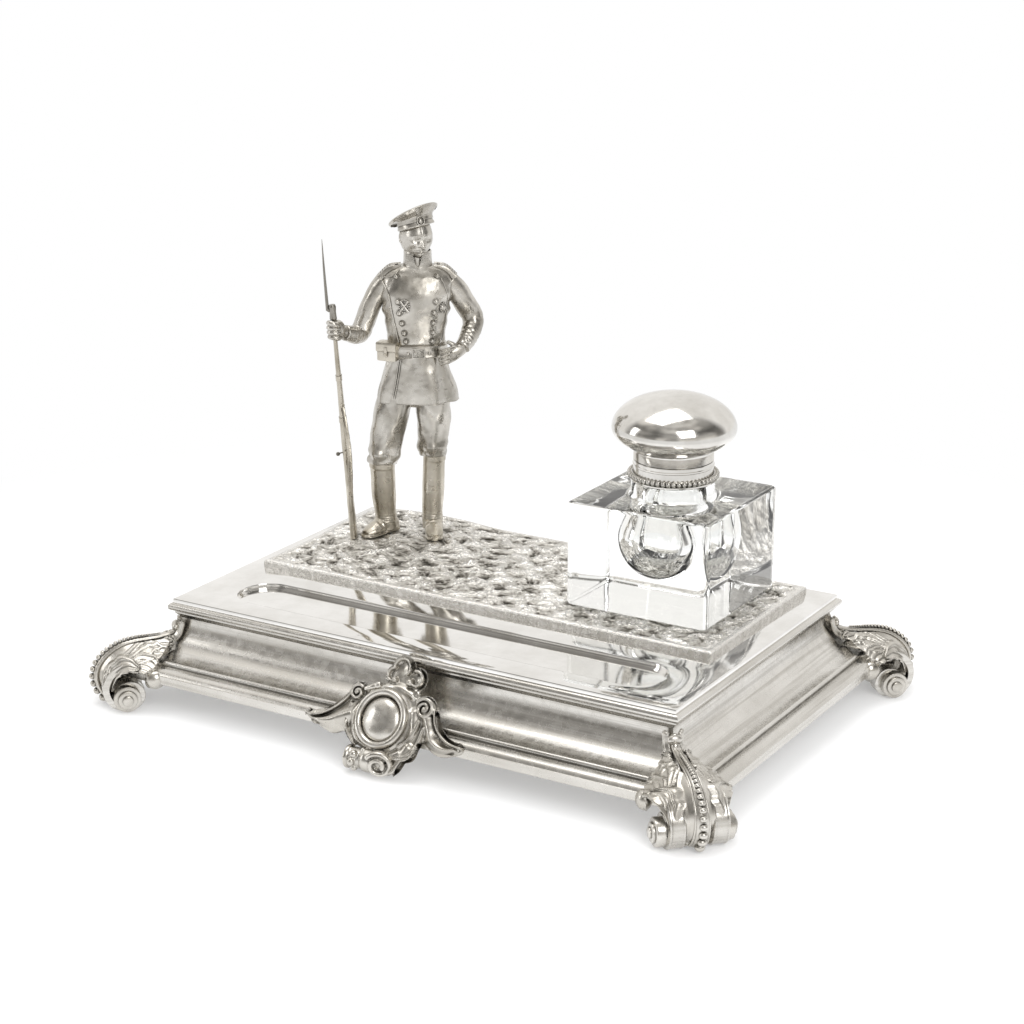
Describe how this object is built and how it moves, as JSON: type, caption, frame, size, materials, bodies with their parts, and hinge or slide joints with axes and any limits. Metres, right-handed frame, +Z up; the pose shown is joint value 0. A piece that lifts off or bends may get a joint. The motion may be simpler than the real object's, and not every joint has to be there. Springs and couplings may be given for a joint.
{
  "type": "inkstand with a cut glass inkwell, a hinged domed lid and a standing guard",
  "caption": "Silver inkstand on four scroll feet: pen tray, cast ground with a standing guard and rifle, and a square clear glass inkwell with beaded collar and hinged domed lid.",
  "frame": {"origin": "centre of the footprint on the table", "axes": "+X along the long front towards the glass well, +Y to the back, +Z up"},
  "size_m": [0.3164, 0.2228, 0.2097],
  "materials": {
    "silver_polished": "polished silver",
    "silver_satin": "satin silver, lightly streaked",
    "silver_cast": "cast silver, grey in the hollows",
    "silver_oxidised": "oxidised silver with bright crests",
    "silver_gilt": "worn parcel gilding",
    "clear_glass": "clear, polished, cut edges"
  },
  "bodies": {
    "stand": {"plinth_front": "silver_satin", "plinth_back": "silver_satin", "plinth_left": "silver_satin", "plinth_right": "silver_satin", "deck_plate": "silver_polished", "pen_tray": "silver_polished", "ground_plate": "silver_oxidised", "ground_nut_left": "silver_satin", "ground_nut_right": "silver_satin", "foot_front_left": "silver_cast", "foot_front_right": "silver_cast", "foot_rear_left": "silver_cast", "foot_rear_right": "silver_cast", "front_cartouche": "silver_cast", "cartouche_boss": "silver_polished", "guard_boot_right": "silver_gilt", "guard_boot_left": "silver_gilt", "guard_trousers": "silver_cast", "guard_tunic": "silver_cast", "guard_belt": "silver_cast", "guard_buckle": "silver_cast", "guard_pouch": "silver_gilt", "guard_neck_collar": "silver_cast", "guard_head": "silver_cast", "guard_cap": "silver_cast", "guard_sleeve_right": "silver_cast", "guard_sleeve_left": "silver_cast", "guard_fist_right": "silver_cast", "guard_hand_left": "silver_cast", "rifle_stock": "silver_gilt", "rifle_barrel": "silver_gilt", "rifle_bayonet": "silver_oxidised", "rifle_bolt": "silver_oxidised", "rifle_sling": "silver_gilt", "guard_nut_right": "silver_satin", "guard_nut_left": "silver_satin"},
    "well": {"well_glass": "clear_glass", "well_collar": "silver_polished", "bead_ring": "silver_satin", "hinge_pin": "silver_satin"},
    "lid": {"lid_band": "silver_polished", "lid_dome": "silver_polished", "lid_liner": "silver_gilt"}
  },
  "joints": [
    {"name": "lid_hinge", "type": "hinge", "parent": "well", "child": "lid", "pos_m": [0.0667, 0.04935, 0.11282], "axis": [-1, 0, 0], "range_deg": [0, 105]},
    {"name": "well_lift", "type": "slide", "parent": "stand", "child": "well", "axis": [0, 0, 1], "range_m": [0, 0.06]}
  ]
}
